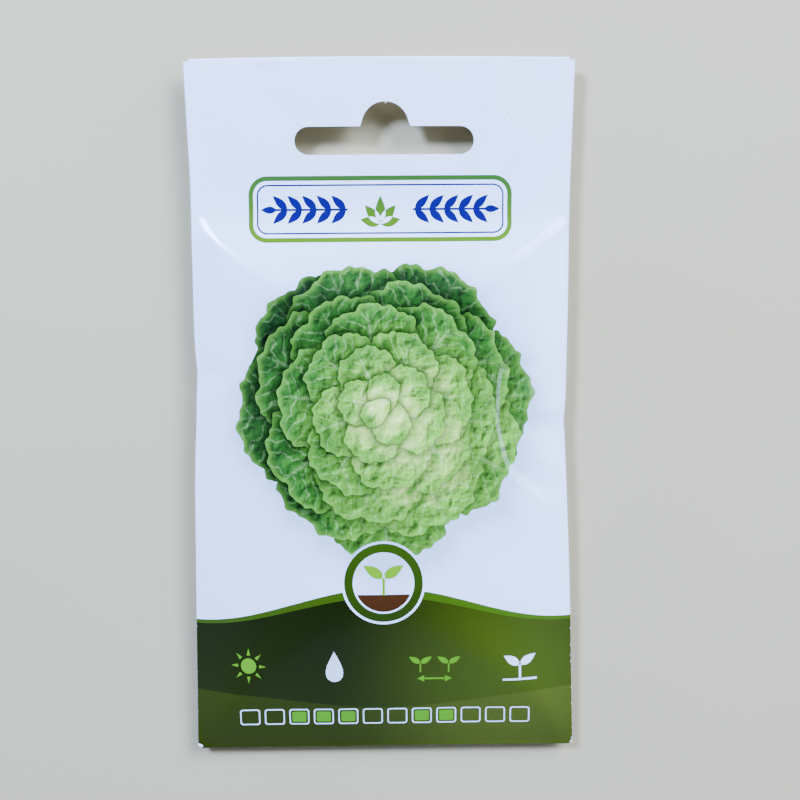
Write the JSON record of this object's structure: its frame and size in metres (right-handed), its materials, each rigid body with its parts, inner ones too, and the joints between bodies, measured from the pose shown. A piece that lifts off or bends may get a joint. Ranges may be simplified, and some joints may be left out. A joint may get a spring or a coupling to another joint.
{
  "type": "seed packet",
  "caption": "Folded and glued glossy paper seed packet with a flat header, a euro hang slot and a softly bulging pouch of coated seeds, lying on its back.",
  "frame": {"origin": "on the surface that the packet lies on, under the middle of its outline", "axes": "+Y from the bottom fold up the packet to the header and its hang slot, +X across to the right side fold as the front is read, +Z out of the front"},
  "size_m": [0.0701, 0.1262, 0.0098],
  "materials": {
    "coated_paper": "gloss",
    "seed_coating": "matte"
  },
  "bodies": {
    "root": {"paper_envelope": "coated_paper", "coated_seeds": "seed_coating"}
  },
  "joints": []
}
